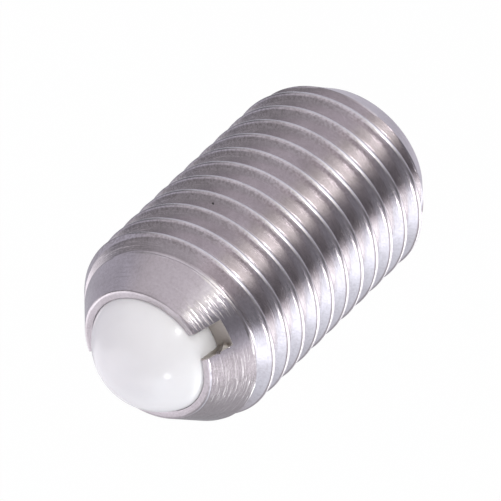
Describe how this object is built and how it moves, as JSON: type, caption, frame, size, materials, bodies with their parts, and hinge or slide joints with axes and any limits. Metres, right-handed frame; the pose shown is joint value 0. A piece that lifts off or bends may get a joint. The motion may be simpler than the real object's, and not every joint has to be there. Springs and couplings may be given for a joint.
{
  "type": "spring plunger",
  "caption": "Spring plunger with a coarse outside thread, a slotted conical nose and a spring-loaded plastic ball held by a rolled-in lip.",
  "frame": {"origin": "centre of the sleeve's flat rear face, on which the part stands", "axes": "+Z along the sleeve's axis from the rear face to the ball; the driver slot runs along Y"},
  "size_m": [0.0158, 0.0158, 0.0308],
  "materials": {
    "stainless_steel": "bright turned stainless steel with fine tool marks",
    "white_acetal": "smooth white acetal, softly glossy",
    "spring_wire": "drawn stainless spring wire"
  },
  "bodies": {
    "sleeve": {"threaded_sleeve": "stainless_steel", "spring": "spring_wire"},
    "ball": {"ball": "white_acetal"}
  },
  "joints": [
    {"name": "ball_plunge", "type": "slide", "parent": "sleeve", "child": "ball", "axis": [0, 0, -1], "range_m": [0, 0.0032], "stiffness_N_per_m": 11000, "springref_m": -0.0036, "deforming": ["spring"]}
  ]
}
